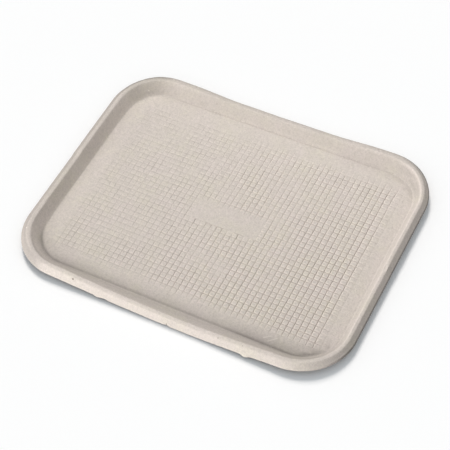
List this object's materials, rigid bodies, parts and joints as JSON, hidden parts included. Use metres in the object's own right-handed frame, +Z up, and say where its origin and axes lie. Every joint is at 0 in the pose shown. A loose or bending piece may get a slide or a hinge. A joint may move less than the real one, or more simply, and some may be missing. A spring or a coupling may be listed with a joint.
{
  "type": "moulded fibre food tray",
  "caption": "Shallow rectangular serving tray of moulded pulp fibre with rounded corners, a sloped wall, a turned-down rim and a gridded anti-slip floor.",
  "frame": {"origin": "middle of the floor's underside, on the surface the tray stands on", "axes": "+X along the tray's length, +Y along its width, +Z up out of the tray"},
  "size_m": [0.4572, 0.3556, 0.016],
  "materials": {
    "pulp_fibre": "matte pressed pulp, warm light grey beige"
  },
  "bodies": {
    "root": {"tray": "pulp_fibre"}
  },
  "joints": []
}
